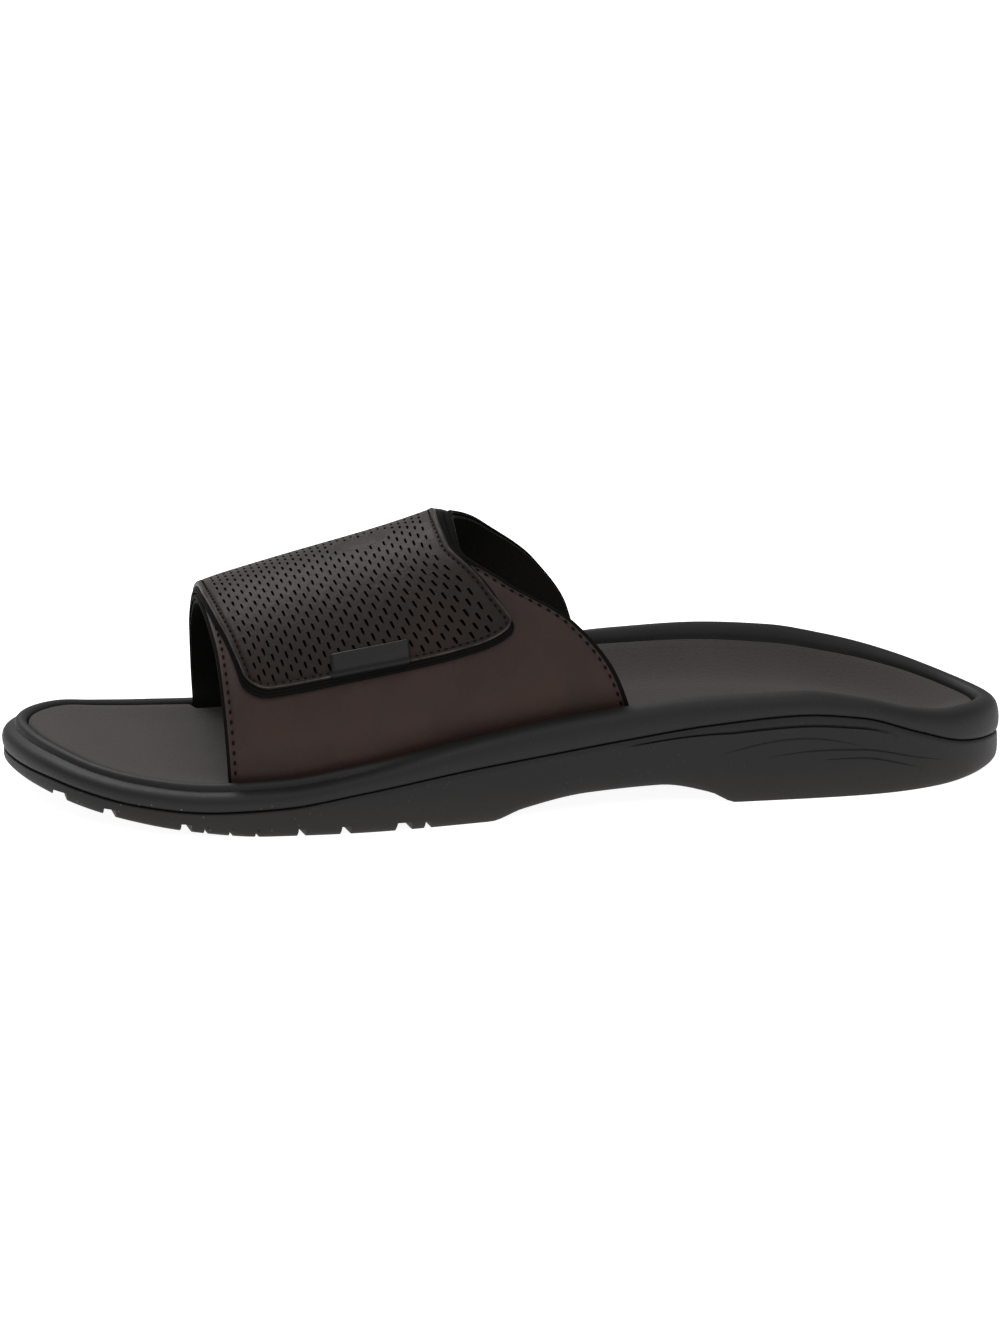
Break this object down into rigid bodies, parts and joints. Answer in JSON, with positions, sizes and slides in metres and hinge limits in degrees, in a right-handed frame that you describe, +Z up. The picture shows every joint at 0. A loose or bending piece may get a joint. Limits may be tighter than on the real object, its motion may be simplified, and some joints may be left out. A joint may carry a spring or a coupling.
{
  "type": "slide sandal",
  "caption": "Left slide sandal with one wide leather strap arch, a fold-over closure flap, a cushioned footbed and a moulded black sole with toe spring.",
  "frame": {"origin": "on the floor under the middle of the sole's outline", "axes": "+X from toe to heel, +Y towards the medial (inner) side, +Z up"},
  "size_m": [0.29, 0.106, 0.0797],
  "materials": {
    "outsole_rubber": "satin moulded black rubber",
    "midsole_foam": "smooth moulded black foam, soft sheen",
    "footbed_cover": "matte taupe nubuck",
    "strap_leather": "dark brown grained leather, satin, black stitching",
    "flap_leather": "dark brown perforated leather, satin, black bound edge",
    "tab_trim": "black, soft gloss"
  },
  "bodies": {
    "root": {"outsole": "outsole_rubber", "midsole": "midsole_foam", "footbed": "footbed_cover", "upper": "strap_leather", "closure_flap": "flap_leather", "pull_tab": "tab_trim"}
  },
  "joints": []
}
